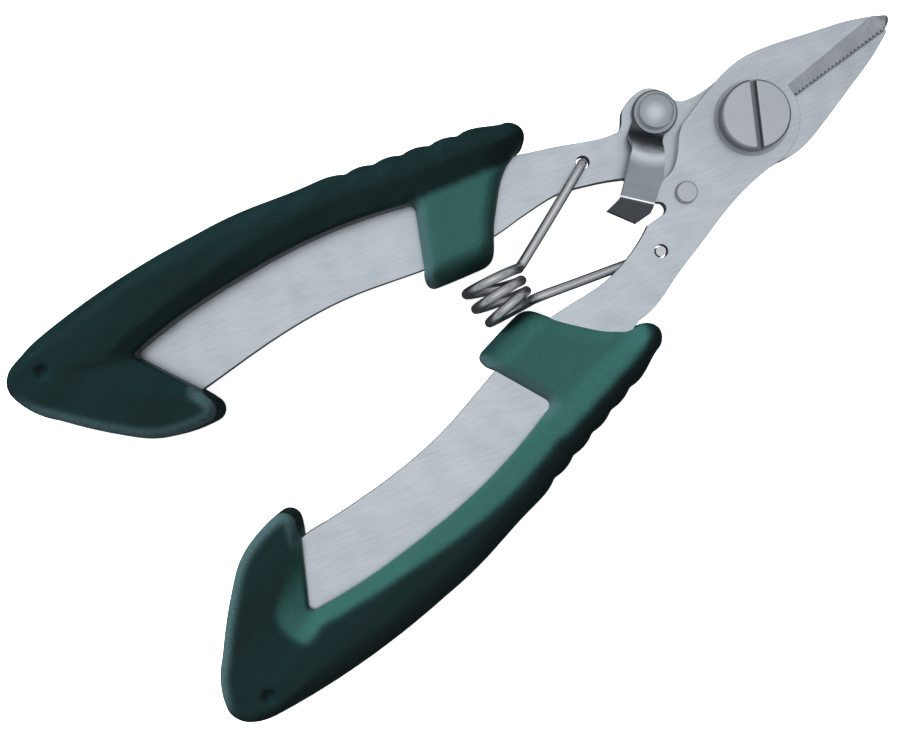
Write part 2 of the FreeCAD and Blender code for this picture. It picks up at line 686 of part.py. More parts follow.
front = front_plate()
back = back_plate()
washer_base = Vector(0, 0, front_face + size("plate_gap"))
latch_washer_base = rivet_at + Vector(0, 0, back_face + 2 * size("plate_gap") + size("latch_sheet"))
nodes = [
    front,
    back,
    grip("upper_grip", 1, back),
    grip("lower_grip", -1, front),
    pivot_screw(),
    ring(
        "pivot_washer",
        "Sizes.pivot_shank_radius + Sizes.running_clearance",
        "Sizes.pivot_washer_radius",
        washer_base,
        "Sizes.pivot_washer_thickness",
    ),
    pivot_nut(),
    latch(),
    latch_rivet(),
    ring(
        "latch_washer",
        "Sizes.rivet_shank_radius + Sizes.running_clearance",
        "Sizes.latch_washer_radius",
        latch_washer_base,
        "Sizes.latch_washer_thickness",
    ),
    stop_pin(),
    return_spring(),
]

# ---------------------------------------------------------------- checks and files

doc.recompute()
for thing in doc.Objects:
    if {"Invalid", "Error"} & set(thing.State):
        raise RuntimeError(f"{thing.Name} did not build: {thing.State}")
os.makedirs("parts", exist_ok=True)
for node in nodes:
    shape = node.Shape
    if shape.isNull() or not shape.isValid() or len(shape.Solids) != 1:
        raise RuntimeError(f"{node.Label} is not one valid solid: {len(shape.Solids)} solids")
for node in nodes:
    node.Shape.exportStep(f"parts/{node.Label}.step")
    box = node.Shape.BoundBox
    print(
        f"{node.Label:14s} {node.Shape.Volume:9.1f} mm3  x {box.XMin:7.1f} {box.XMax:6.1f}"
        f"  y {box.YMin:6.1f} {box.YMax:6.1f}  z {box.ZMin:5.2f} {box.ZMax:5.2f}"
    )
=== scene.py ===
import math

import bmesh
import bpy
import numpy as np
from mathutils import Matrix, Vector


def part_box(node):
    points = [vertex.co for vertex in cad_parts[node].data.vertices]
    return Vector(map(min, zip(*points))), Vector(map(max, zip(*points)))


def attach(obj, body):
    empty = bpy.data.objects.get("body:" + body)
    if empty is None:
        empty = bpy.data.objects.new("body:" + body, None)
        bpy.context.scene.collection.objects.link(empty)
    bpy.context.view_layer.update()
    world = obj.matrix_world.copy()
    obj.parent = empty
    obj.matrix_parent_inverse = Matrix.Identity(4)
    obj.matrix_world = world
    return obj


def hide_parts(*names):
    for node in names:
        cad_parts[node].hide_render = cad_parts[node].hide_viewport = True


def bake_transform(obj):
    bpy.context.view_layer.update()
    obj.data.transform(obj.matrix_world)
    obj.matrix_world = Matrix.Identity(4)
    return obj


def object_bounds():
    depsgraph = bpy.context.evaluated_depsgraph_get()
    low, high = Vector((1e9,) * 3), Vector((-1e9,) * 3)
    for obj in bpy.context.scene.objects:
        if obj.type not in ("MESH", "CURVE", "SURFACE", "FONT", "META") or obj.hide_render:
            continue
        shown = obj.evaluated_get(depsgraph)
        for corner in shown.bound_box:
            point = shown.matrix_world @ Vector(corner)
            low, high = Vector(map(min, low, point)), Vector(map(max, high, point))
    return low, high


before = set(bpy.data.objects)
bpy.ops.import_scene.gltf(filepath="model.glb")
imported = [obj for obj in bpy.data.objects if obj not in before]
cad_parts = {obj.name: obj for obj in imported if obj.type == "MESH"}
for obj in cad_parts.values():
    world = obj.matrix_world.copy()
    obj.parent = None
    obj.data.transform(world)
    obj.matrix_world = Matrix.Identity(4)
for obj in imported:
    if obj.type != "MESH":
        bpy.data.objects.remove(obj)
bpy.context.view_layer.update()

# ------------------------------------------------------------------ stamped plates
# The two halves are stamped from 2 mm stainless sheet and ground along the sheet to a satin finish.
# Stamping and tumbling leave their edges slightly broken. The front jaw's bevel is ground across
# its length, so it is darker and coarser than the faces.

MM = 0.001
WELD_DISTANCE = 1e-7
FLAT_ANGLE = math.radians(0.5)
BROKEN_EDGE_ANGLE = math.radians(28)
SHARP_SHADING_ANGLE = math.radians(50)
# how steeply a strip turns at its bends, in radians, and how level the faces beside them are
BEND_ANGLES, BEND_LEVEL, BEND_SEGMENTS = (0.4, 1.4), 0.2, 5
PLATE_EDGE = 0.1 * MM
# the ground bevels start this far from the pivot, and lean between these upward shares
BEVEL_START = 6.3 * MM
BEVEL_LEAN = (0.3, 0.97)


def named(name, mesh):
    """A new object at the origin, in the scene."""
    piece = bpy.data.objects.new(name, mesh)
    bpy.context.scene.collection.objects.link(piece)
    return piece


def applied_mesh(piece):
    """A new mesh of a piece as its modifiers or its curve make it."""
    graph = bpy.context.evaluated_depsgraph_get()
    return bpy.data.meshes.new_from_object(piece.evaluated_get(graph))


def applied(piece):
    """Works a piece's modifiers into its mesh."""
    made = applied_mesh(piece)
    piece.modifiers.clear()
    piece.data = made


def eased(node, name, body, finish, width, segments=2, fold=0.0, ground=None):
    """A copy of a CAD part with its edges broken by the width given, in its own finish.

    The fold is the radius of the bends of bent sheet. The ground bevel and its teeth keep their
    own crisp edges, in the finish given for them.
    """
    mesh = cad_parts[node].data.copy()
    shape = bmesh.new()
    shape.from_mesh(mesh)
    bmesh.ops.remove_doubles(shape, verts=shape.verts, dist=WELD_DISTANCE)
    for face in shape.faces:
        face.smooth = True
        face.material_index = int(ground is not None and ground_bevel(face))
    flat = [edge for edge in shape.edges if not beside_bevel(edge)]
    corners = list(dict.fromkeys(corner for edge in flat for corner in edge.verts))
    bmesh.ops.dissolve_limit(shape, angle_limit=FLAT_ANGLE, verts=corners, edges=flat)
    if fold:
        bmesh.ops.bevel(
            shape,
            geom=[edge for edge in shape.edges if is_bend(edge)],
            offset=fold,
            segments=BEND_SEGMENTS,
            profile=0.5,
            affect="EDGES",
            clamp_overlap=False,
        )
    broken = shape.edges.layers.float.new("bevel_weight_edge")
    for edge in shape.edges:
        sharp = edge.is_manifold and edge.calc_face_angle(0) > BROKEN_EDGE_ANGLE
        edge[broken] = float(sharp and not beside_bevel(edge))
    # the materials go on before the mesh is filled, because clearing them resets its faces' own
    mesh.materials.clear()
    mesh.materials.append(finish)
    if ground:
        mesh.materials.append(ground)
    shape.to_mesh(mesh)
    shape.free()
    piece = named(name, mesh)
    break_edges = piece.modifiers.new("broken edges", "BEVEL")
    break_edges.width = width
    break_edges.segments = segments
    break_edges.limit_method = "WEIGHT"
    piece.modifiers.new("flat faces stay flat", "WEIGHTED_NORMAL").weight = 100
    mesh.set_sharp_from_angle(angle=SHARP_SHADING_ANGLE)
    applied(piece)
    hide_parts(node)
    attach(piece, body)


def ground_bevel(face):
    """Whether a face is part of the bevel ground along a jaw."""
    lean = BEVEL_LEAN[0] < abs(face.normal.z) < BEVEL_LEAN[1]
    return lean and face.calc_center_median().x > BEVEL_START


def beside_bevel(edge):
    """Whether an edge borders a face that was marked as ground."""
    return any(face.material_index for face in edge.link_faces)


def is_bend(edge):
    """Whether an edge is a bend across a strip, and not one of its cut edges."""
    turns = BEND_ANGLES[0] < edge.calc_face_angle(0) < BEND_ANGLES[1]
    return turns and all(abs(face.normal.z) > BEND_LEVEL for face in edge.link_faces)


class Value:
    """A socket of a finish. Arithmetic on it adds the finish's Math nodes."""

    def __init__(self, finish, socket):
        self.finish, self.socket = finish, socket

    def maths(self, operation, first, second):
        return self.finish.node("ShaderNodeMath", {"operation": operation}, {0: first, 1: second})

    def __add__(self, other):
        return self.maths("ADD", self, other)

    def __sub__(self, other):
        return self.maths("SUBTRACT", self, other)

    def __rsub__(self, other):
        return self.maths("SUBTRACT", other, self)

    def __mul__(self, other):
        return self.maths("MULTIPLY", self, other)

    __radd__, __rmul__ = __add__, __mul__


class Finish:
    """A material, or a world, made of nodes: node() adds one and surface() joins the result."""

    def __init__(self, name, kind="materials", shader="Principled BSDF"):
        self.owner = getattr(bpy.data, kind).new(name)
        self.owner.use_nodes = True
        self.tree = self.owner.node_tree
        self.shader = self.tree.nodes[shader]

    def node(self, kind, settings=None, inputs=None, output=0):
        """Adds a node with its settings and its sockets' values or links, and gives one output."""
        made = self.tree.nodes.new(kind)
        for key, setting in (settings or {}).items():
            if key == "stops":
                elements = made.color_ramp.elements
                for end, (place, colour) in zip(elements, (setting[0], setting[-1])):
                    end.position, end.color = place, colour
                for place, colour in setting[1:-1]:
                    elements.new(place).color = colour
            else:
                setattr(made, key, setting)
        for key, value in (inputs or {}).items():
            self.join(value, made.inputs[key])
        return Value(self, made.outputs[output])

    def join(self, value, socket):
        if isinstance(value, Value):
            self.tree.links.new(value.socket, socket)
        else:
            socket.default_value = value

    def surface(self, **sockets):
        """Sets the shader's sockets, named in words with _ for a space, and gives the result."""
        for key, value in sockets.items():
            self.join(value, self.shader.inputs[key.replace("_", " ")])
        return self.owner

    def place(self):
        """Where a point is on the object, in metres."""
        return self.node("ShaderNodeTexCoord", output="Object")

    def offset(self, centre):
        """The way from a centre to the place."""
        return self.node(
            "ShaderNodeVectorMath", {"operation": "SUBTRACT"}, {0: self.place(), 1: tuple(centre)}
        )

    def length(self, vector):
        return self.node(
            "ShaderNodeVectorMath", {"operation": "LENGTH"}, {0: vector}, output="Value"
        )

    def reach(self, vector, way):
        """How far a vector goes along a direction."""
        return self.node(
            "ShaderNodeVectorMath",
            {"operation": "DOT_PRODUCT"},
            {0: vector, 1: way},
            output="Value",
        )

    def stretched(self, angle, along, across, through):
        """The place turned by an angle and scaled, so that a noise on it becomes a grain."""
        return self.node(
            "ShaderNodeMapping",
            {"vector_type": "TEXTURE"},
            {
                "Vector": self.place(),
                "Rotation": (0.0, 0.0, math.radians(angle)),
                "Scale": (1 / along, 1 / across, 1 / through),
            },
        )

    def noise(self, vector, scale, detail=2.0, roughness=0.5):
        return self.node(
            "ShaderNodeTexNoise",
            {"noise_dimensions": "3D"},
            {"Vector": vector, "Scale": scale, "Detail": detail, "Roughness": roughness},
        )

    def blend(self, share, first, second):
        """A colour between two others."""
        return self.node(
            "ShaderNodeMix",
            {"data_type": "RGBA"},
            {0: share, 6: first, 7: second},
            output=2,
        )

    def band(self, value, low, high):
        """0 below low, 1 above high and smooth between them."""
        return self.node(
            "ShaderNodeMapRange",
            {"interpolation_type": "SMOOTHSTEP"},
            {"Value": value, "From Min": low, "From Max": high},
        )

    def relief(self, height, strength, distance):
        return self.node(
            "ShaderNodeBump", None, {"Height": height, "Strength": strength, "Distance": distance}
        )


def satin_steel(name, light, dark, angle, rough=0.34, grain=0.12):
    """Ground stainless: a fine grain one way, cloudy patches and faint polishing swirls.

    It gives the finish so far, with its tone, its roughness and the grain that its relief follows.
    """
    steel = Finish(name)
    grain_place = steel.stretched(angle, along=260, across=3000, through=3000)
    cloud_place = steel.stretched(angle, along=70, across=190, through=190)
    fine = steel.noise(grain_place, scale=1.0, detail=3.0, roughness=0.65)
    clouds = steel.noise(cloud_place, scale=1.0, detail=5.0, roughness=0.65)
    swirl = steel.node(
        "ShaderNodeTexWave",
        {"wave_type": "RINGS", "rings_direction": "Z"},
        {
            "Vector": steel.place(),
            "Scale": 55.0,
            "Distortion": 9.0,
            "Detail": 3.0,
            "Detail Scale": 1.3,
        },
        output="Fac",
    )
    patches = steel.band(clouds, 0.3, 0.72)
    lightness = patches * 0.42 + steel.band(fine, 0.25, 0.75) * 0.38 + swirl * 0.20
    roughness = fine * grain + patches * 0.07 + swirl * 0.03 + (rough - grain / 2)
    return steel, steel.blend(lightness, dark, light), roughness, fine


def plate_steel():
    """The plates' finish."""
    steel, tone, roughness, fine = satin_steel(
        "satin plate steel", PLATE_LIGHT, PLATE_DARK, angle=-14
    )
    return steel.surface(
        Base_Color=tone,
        Metallic=1.0,
        Roughness=roughness,
        Normal=steel.relief(fine, strength=0.10, distance=0.00001),
    )


def bevel_steel():
    """The jaws' ground bevel, darker, with painted shade between the teeth along the edge."""
    steel, tone, roughness, fine = satin_steel(
        "cross-ground bevel steel", BEVEL_LIGHT, BEVEL_DARK, angle=66
    )
    along = steel.reach(steel.place(), (1.0, EDGE_SLOPE, 0.0))
    across = steel.reach(steel.place(), (-EDGE_SLOPE, 1.0, 0.0))
    start = EDGE_HEEL[0] + EDGE_SLOPE * EDGE_HEEL[1]
    # painted shade: dark dots at each tooth along the edge, where shadow falls between the teeth
    beat = steel.node(
        "ShaderNodeMath",
        {"operation": "COSINE"},
        {0: (along - start * MM) * (2 * math.pi / (TOOTH_PITCH * MM))},
    )
    edge = (EDGE_HEEL[1] - EDGE_SLOPE * EDGE_HEEL[0]) * MM
    near = 1 - steel.band(across - edge, *TOOTH_SHADE_REACH)
    shade_dots = steel.band(beat, -0.3, 0.3) * near
    return steel.surface(
        Base_Color=steel.blend(shade_dots, tone, TOOTH_SHADE),
        Metallic=1.0,
        Roughness=roughness + 0.04,
        Normal=steel.relief(fine, strength=0.22, distance=0.00001),
    )


PLATE_LIGHT = (0.76, 0.81, 0.86, 1.0)
PLATE_DARK = (0.48, 0.53, 0.58, 1.0)
BEVEL_LIGHT = (0.76, 0.80, 0.85, 1.0)
BEVEL_DARK = (0.52, 0.55, 0.59, 1.0)
# the painted shade between the jaw's teeth, and how far from the edge it reaches
TOOTH_SHADE, TOOTH_SHADE_REACH = (0.03, 0.032, 0.036, 1.0), (0.02 * MM, 0.30 * MM)
# the front jaw's toothed edge runs from its heel to its tip, in millimetres
EDGE_HEEL, EDGE_TIP, TOOTH_COUNT = (6.75, -0.8), (23.0, -0.35), 25
EDGE_SLOPE = (EDGE_TIP[1] - EDGE_HEEL[1]) / (EDGE_TIP[0] - EDGE_HEEL[0])
TOOTH_PITCH = (EDGE_TIP[0] - EDGE_HEEL[0]) / TOOTH_COUNT

plate_finish, bevel_finish = plate_steel(), bevel_steel()
for node, body in (("front_plate", "front_half"), ("back_plate", "back_half")):
    eased(
        node,
        node + "_ground",
        body,
        plate_finish,
        PLATE_EDGE,
        ground=bevel_finish,
    )

# ------------------------------------------------------------------ moulded grips
# Each grip is one C-shaped moulding of dark green plastic round its tang: a thick outer rail with
# rounded edges and finger bumps, a bridge that is stepped lower at the neck, and a hook at the
# far end. The plastic is semi-gloss with the fine texture of a spark-eroded mould.

GRIP_STEP = 0.35
OUTLINE_LEVEL = 8.4 * MM
# how far the top falls to each part, in millimetres
BRIDGE_DROP, HOOK_DROP, HOOK_FLAT_DROP, FOOT_DROP, LIP_DROP = 1.5, 1.4, 0.35, 1.2, 1.1
WINDOW_EDGE_RADIUS = 0.5
# corners of the upper grip in millimetres, each between two stretches of its outline
HOOK_TIP, WINDOW_FAR = (-84.9, 13.1), (-89.3, 22.0)
WINDOW_NEAR, LIP = (-46.9, 17.8), (-50.5, 6.7)
CREASE_END = (-32.3, 14.5)
BRIDGE_FOOT = ((-50.5, 5.9), (-42.7, 4.3))
HOOK_REACH = -72.0
DIMPLE, DIMPLE_RADIUS, DIMPLE_DEPTH = (-101.1, 27.3), 1.15, 0.8


def outline_at(node, height):
    """The longest closed outline of a CAD solid at one height, as points in millimetres."""
    cut = bmesh.new()
    cut.from_mesh(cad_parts[node].data)
    bmesh.ops.remove_doubles(cut, verts=cut.verts, dist=WELD_DISTANCE)
    found = bmesh.ops.bisect_plane(
        cut,
        geom=cut.verts[:] + cut.edges[:] + cut.faces[:],
        plane_co=(0, 0, height),
        plane_no=(0, 0, 1),
        clear_inner=True,
        clear_outer=True,
    )
    edges = {e for e in found["geom_cut"] if isinstance(e, bmesh.types.BMEdge)}
    loops = []
    while edges:
        first = edges.pop()
        at, loop = first.verts[1], [first.verts[0].co.xy / MM, first.verts[1].co.xy / MM]
        while True:
            onward = next((e for e in at.link_edges if e in edges), None)
            if onward is None:
                break
            edges.remove(onward)
            at = onward.other_vert(at)
            loop.append(at.co.xy / MM)
        loops.append(np.array(loop[:-1] if (loop[0] - loop[-1]).length < 1e-4 else loop))
    cut.free()
    return max(loops, key=len)


def distance_to(points, starts, ends):
    """The distance from each point to the nearest of many segments."""
    nearest = np.full(len(points), 1e9)
    for start, end in zip(starts, ends):
        run = end - start
        length = run @ run
        if length < 1e-12:
            continue
        share = np.clip(((points - start) @ run) / length, 0, 1)
        away = points - (start + share[:, None] * run)
        nearest = np.minimum(nearest, np.hypot(away[:, 0], away[:, 1]))
    return nearest


def within(points, corners):
    """Which points lie inside a closed outline."""
    inside = np.zeros(len(points), bool)
    x, y = points[:, 0], points[:, 1]
    for (x0, y0), (x1, y1) in zip(corners, np.roll(corners, -1, axis=0)):
        if y0 == y1:
            continue
        crosses = (y0 > y) != (y1 > y)
        inside ^= crosses & (x < (x1 - x0) * (y - y0) / (y1 - y0) + x0)
    return inside


def smooth_step(value, low, high):
    share = np.clip((value - low) / (high - low), 0, 1)
    return share * share * (3 - 2 * share)


def rounded(wall, face, radius):
    """The distance outside an edge of the given radius, from the depths inside its two sides."""
    a, b = radius - wall, radius - face
    return np.hypot(np.maximum(a, 0), np.maximum(b, 0)) + np.minimum(np.maximum(a, b), 0) - radius


def skin(field, corner, step):
    """The closed mesh where a field crosses zero, with one vertex in each cell that it crosses."""
    inside = field < 0
    cells = tuple(n - 1 for n in field.shape)
    total, count = np.zeros(cells + (3,)), np.zeros(cells)
    crossings = []
    for axis in range(3):
        low = [slice(None)] * 3
        high = [slice(None)] * 3
        low[axis], high[axis] = slice(0, -1), slice(1, None)
        first, second = field[tuple(low)], field[tuple(high)]
        crosses = inside[tuple(low)] != inside[tuple(high)]
        places = np.argwhere(crosses)
        share = first[crosses] / (first[crosses] - second[crosses])
        points = places.astype(float)
        points[:, axis] += share
        others = [n for n in range(3) if n != axis]
        for shift_a in (0, 1):
            for shift_b in (0, 1):
                cell = places.copy()
                cell[:, others[0]] -= shift_a
                cell[:, others[1]] -= shift_b
                keep = np.all((cell >= 0) & (cell < cells), axis=1)
                index = tuple(cell[keep].T)
                np.add.at(total, index, points[keep])
                np.add.at(count, index, 1)
        crossings.append((axis, others, places, inside[tuple(low)][crosses]))
    used = count > 0
    number = np.full(cells, -1)
    number[used] = np.arange(used.sum())
    vertices = (total[used] / count[used][:, None]) * step + corner
    faces = []
    for axis, others, places, leaves in crossings:
        ring = []
        for shift_a, shift_b in ((0, 0), (1, 0), (1, 1), (0, 1)):
            cell = places.copy()
            cell[:, others[0]] -= shift_a
            cell[:, others[1]] -= shift_b
            ring.append(number[tuple(cell.T)])
        quads = np.stack(ring, axis=1)
        flip = leaves if axis != 1 else ~leaves
        quads[flip] = quads[flip][:, ::-1]
        faces.append(quads)
    mesh = bpy.data.meshes.new("skin")
    mesh.from_pydata(vertices * MM, [], np.concatenate(faces).tolist())
    mesh.update()
    return mesh


def ramp(depth, width):
    """1 at an edge, falling evenly to 0 at the width given."""
    return 1 - np.clip(depth / width, 0, 1)


def beside(x, y, start, end):
    """How far a point lies to the left of a line, in millimetres."""
    run_x, run_y = end[0] - start[0], end[1] - start[1]
    return (run_x * (y - start[1]) - run_y * (x - start[0])) / math.hypot(run_x, run_y)


def blurred(height, rounds):
    """A height map with its creases softened."""
    for _ in range(rounds):
        for axis in (0, 1):
            height = (np.roll(height, 1, axis) + 2 * height + np.roll(height, -1, axis)) / 4
    return height


def grip_outline(node, side):
    """The grip's outline, as the upper grip lies, and where its four stretches begin and end."""
    outline = outline_at(node, OUTLINE_LEVEL) * (1, side)
    corners = [
        int(np.argmin(np.hypot(*(outline - corner).T)))
        for corner in (HOOK_TIP, WINDOW_FAR, WINDOW_NEAR, LIP)
    ]
    outline = np.roll(outline, -corners[0], axis=0)
    far, near, lip = [(corner - corners[0]) % len(outline) for corner in corners[1:]]
    if far > lip:
        outline = np.roll(outline[::-1], 1, axis=0)
        far, near, lip = len(outline) - far, len(outline) - near, len(outline) - lip
    return outline, (0, far, near, lip, len(outline))


def grip_field(node, side, clear):
    """How far each point of a grid round the grip is outside the moulding, in millimetres.

    With it come the grid's corner, where painted sheen brightens the flats and where a painted
    highlight runs along the outer edge. The facets beside the window get as much painted sheen as
    the clear share given.
    """
    outline, breaks = grip_outline(node, side)
    low, high = [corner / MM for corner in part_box(node)]
    pad = 3 * GRIP_STEP
    axes = [np.arange(low[n] - pad, high[n] + pad + GRIP_STEP, GRIP_STEP) for n in range(3)]
    x, y = np.meshgrid(axes[0], axes[1] * side, indexing="ij")
    points = np.stack([x.ravel(), y.ravel()], axis=1)
    ends = np.roll(outline, -1, axis=0)
    hook, rail, lips, outer = [
        distance_to(points, outline[first:last], ends[first:last]).reshape(x.shape)
        for first, last in zip(breaks, breaks[1:])
    ]
    crease = distance_to(points, np.array([WINDOW_NEAR]), np.array([CREASE_END]))
    crease = crease.reshape(x.shape)
    inside = within(points, outline).reshape(x.shape)
    window = np.minimum(np.minimum(hook, rail), lips)
    # outside the moulding, the nearest edge is the one that a point lies beyond
    outer_depth = np.where(inside | (outer > window), outer, -outer)
    window_depth = np.where(inside | (window >= outer), window, -window)

    # the top falls from the rail's crest to the window, and runs on into the lower bridge
    middle, half = (low[2] + high[2]) / 2, (high[2] - low[2]) / 2
    on_bridge = (beside(x, y, WINDOW_NEAR, CREASE_END) < 0) & (x > LIP[0] - 2)
    rail_width = 2.2 + 1.4 * smooth_step(x, -84, -56)
    rail_facet = np.where(on_bridge, 1.0, ramp(np.minimum(rail, crease), rail_width))
    below = -beside(x, y, DIMPLE, WINDOW_FAR)
    hook_width = 1.0 + 3.6 * smooth_step(y, HOOK_TIP[1], WINDOW_FAR[1] - 3)
    hook_facet = ramp(hook, hook_width) * smooth_step(below, -1.4, -0.2)
    hook_facet = np.where(on_bridge, 0.0, hook_facet)
    foot = np.where(on_bridge, ramp(beside(x, y, *BRIDGE_FOOT), 3.0), 0.0)
    lip_slope = np.where(on_bridge, ramp(lips, 1.5), 0.0)
    on_hook = x < HOOK_REACH
    past_dimple = smooth_step(x, DIMPLE[0], DIMPLE[0] + 6)
    fall = np.maximum(rail_facet * BRIDGE_DROP, hook_facet * HOOK_DROP)
    fall += np.maximum(foot * FOOT_DROP, lip_slope * LIP_DROP)
    fall += HOOK_FLAT_DROP * smooth_step(below, 0.0, 0.9) * past_dimple * on_hook
    dent = 1 - (np.hypot(x - DIMPLE[0], y - DIMPLE[1]) / DIMPLE_RADIUS) ** 2
    top = blurred(half - fall, 2) - DIMPLE_DEPTH * np.clip(dent, 0, 1)
    # the rail's outer edge is rounder than the hook's and the bridge's
    past_crease = smooth_step(-beside(x, y, WINDOW_NEAR, CREASE_END), -1, 1)
    radius = 1.5 + 2.1 * smooth_step(-below, -1.0, 3.0) * (1 - 0.6 * past_crease)
    depth = top[:, :, None] - np.abs(axes[2] - middle)[None, None, :]
    field = np.maximum(
        rounded(outer_depth[:, :, None], depth, radius[:, :, None]),
        rounded(window_depth[:, :, None], depth, WINDOW_EDGE_RADIUS),
    )
    # painted sheen: brighter green where the flats catch the light, full on the bridge, on the
    # window facets by the clear share
    on_facet = smooth_step(np.maximum(rail_facet, hook_facet), 0.0, 0.15)
    thin = np.where(on_bridge, 1.0, clear * on_facet) * (1 - 0.8 * foot)
    # painted highlight along the hooks' lower outer rounding and on the lip's slope, where they
    # catch the light
    rubbed = smooth_step(-outer, -1.5, -1.1) * smooth_step(below, 2.0, 6.0) * on_hook
    rubbed = np.maximum(rubbed, smooth_step(lip_slope, 0.0, 0.3))
    return field, [axis[0] for axis in axes], blurred(thin, 1), blurred(rubbed, 1)


def sampled(grid, column, row):
    """The grid's value between its points."""
    left, low = column.astype(int), row.astype(int)
    across, up = column - left, row - low
    lower = grid[left, low] * (1 - across) + grid[left + 1, low] * across
    upper = grid[left, low + 1] * (1 - across) + grid[left + 1, low + 1] * across
    return lower * (1 - up) + upper * up


def green_plastic(name):
    """Dark green moulded plastic, with painted sheen on its lit flats and a painted highlight on
    some edges.
    """
    plastic = Finish(name)
    texture = plastic.noise(plastic.place(), scale=2600.0, detail=3.0, roughness=0.7)
    ripple = plastic.noise(plastic.place(), scale=420.0, detail=2.0)
    flow_place = plastic.stretched(16, along=40, across=260, through=260)
    flow = plastic.noise(flow_place, scale=1.0, detail=3.0)
    thin = plastic.node("ShaderNodeAttribute", {"attribute_name": "thin"}, output="Fac")
    rubbed = plastic.node("ShaderNodeAttribute", {"attribute_name": "rubbed"}, output="Fac")
    lean = plastic.reach(plastic.node("ShaderNodeNewGeometry", output="Normal"), (0.0, 0.0, 1.0))
    # painted highlight on the steep sides, where its mask is set
    edge = rubbed * plastic.band(lean * lean, 0.01, 0.12)
    speck = plastic.band(texture, 0.35, 0.65)
    depths = plastic.band(flow, 0.3, 0.75) * 0.6 + speck * 0.4
    plastic_tone = plastic.blend(depths, PLASTIC_GREEN, PLASTIC_TEAL)
    # painted sheen blends the plastic's own green towards a lit green
    tone = plastic.blend(thin * (flow * 0.2 + speck * 0.16 + 0.74), plastic_tone, SHEEN_GREEN)
    return plastic.surface(
        Base_Color=plastic.blend(edge * (speck * 0.3 + 0.7), tone, HIGHLIGHT_GREEN),
        Roughness=texture * 0.14 + flow * 0.08 + 0.34,
        Normal=plastic.relief(texture * 0.8 + ripple * 0.5, strength=0.30, distance=0.00005),
        Specular_IOR_Level=0.14,
    )


# the plastic's own greens, then the lit green of the painted sheen and the green of the painted
# highlight
PLASTIC_GREEN = (0.0015, 0.0065, 0.0070, 1.0)
PLASTIC_TEAL = (0.0030, 0.0125, 0.0130, 1.0)
SHEEN_GREEN = (0.016, 0.060, 0.053, 1.0)
HIGHLIGHT_GREEN = (0.030, 0.060, 0.064, 1.0)
plastic_finish = green_plastic("dark green moulded plastic")
# beside its window the upper grip's facets lie in shade and get almost no painted sheen, so they
# are
# # nearly as dark as its rail; the lower grip's facets catch the light and get painted sheen
for node, name, body, side, clear in (
    ("upper_grip", "upper_grip_moulding", "back_half", 1, 0.04),
    ("lower_grip", "lower_grip_moulding", "front_half", -1, 0.95),
):
    field, corner, thin, rubbed = grip_field(node, side, clear)
    grip = named(name, skin(field, corner, GRIP_STEP))
    soften = grip.modifiers.new("moulded softness", "SMOOTH")
    soften.factor, soften.iterations = 0.5, 1
    applied(grip)
    places = np.empty(3 * len(grip.data.vertices))
    grip.data.vertices.foreach_get("co", places)
    cells = (places.reshape(-1, 3) / MM - corner) / GRIP_STEP
    for trait, grid in (("thin", thin), ("rubbed", rubbed)):
        made = grip.data.attributes.new(trait, "FLOAT", "POINT")
        made.data.foreach_set("value", sampled(grid, cells[:, 0], cells[:, 1]))
    grip.data.materials.append(plastic_finish)
    for face in grip.data.polygons:
        face.use_smooth = True
    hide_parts(node)
    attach(grip, body)

# ------------------------------------------------------------------ pivot
# A slotted cheese-head screw, turned and lightly polished, clamps the two plates through a thin
# washer and a hexagonal nut. The lathe leaves fine rings on its face.


def turned_steel(name, centre, light, dark, pitch=0.42, rings=0.5, rough=0.24, recess_shade=0.0):
    """Turned steel: fine rings round an axis, and painted shade below the face that they are cut
    in.

    The rings' pitch is in millimetres.
    """
    steel = Finish(name)
    offset = steel.offset(centre)
    radius = steel.length(offset)
    wobble = steel.noise(steel.place(), scale=700.0, detail=2.0)
    wave = steel.node(
        "ShaderNodeMath",
        {"operation": "SINE"},
        {0: radius * (2 * math.pi / (pitch * MM)) + wobble * 5.0},
    )
    marks = wave * 0.5 + 0.5
    clouds = steel.noise(steel.place(), scale=420.0, detail=3.0)
    # painted shade: darker below the face, in a screw's slot and down its sides
    drop = steel.reach(offset, (0, 0, -1))
    metal = steel.blend(clouds * 0.7 + marks * (0.45 * rings), dark, light)
    return steel.surface(
        Base_Color=steel.blend(steel.band(drop, *RECESS_SHADE_DEPTHS) * recess_shade, metal, RECESS_SHADE),
        Metallic=1.0,
        Roughness=marks * (0.08 * rings) + clouds * 0.12 + rough,
        Normal=steel.relief(marks, strength=0.3 * rings, distance=0.000006),
    )


def top_centre(node):
    """The middle of a piece's top, where its axis leaves it."""
    low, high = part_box(node)
    return Vector(((low[0] + high[0]) / 2, (low[1] + high[1]) / 2, high[2]))


SCREW_EDGE = 0.06 * MM
# the painted shade below a screw's face, and the depths over which it darkens
RECESS_SHADE, RECESS_SHADE_DEPTHS = (0.10, 0.10, 0.11, 1.0), (0.2 * MM, 0.6 * MM)
SCREW_LIGHT, SCREW_DARK = (0.60, 0.64, 0.68, 1.0), (0.47, 0.50, 0.53, 1.0)
# the washers are dull steel, and their tone is also darker as painted shade under the heads
WASHER_LIGHT, WASHER_DARK = (0.56, 0.60, 0.64, 1.0), (0.38, 0.41, 0.44, 1.0)
pivot_top = top_centre("pivot_screw")
screw_finish = turned_steel("turned screw steel", pivot_top, SCREW_LIGHT, SCREW_DARK, recess_shade=0.75)
washer_finish = turned_steel("dull washer steel in painted shade", pivot_top, WASHER_LIGHT, WASHER_DARK, rough=0.36)
for node, finish in (
    ("pivot_screw", screw_finish),
    ("pivot_washer", washer_finish),
    ("pivot_nut", screw_finish),
):
    eased(node, node + "_turned", "back_half", finish, SCREW_EDGE)
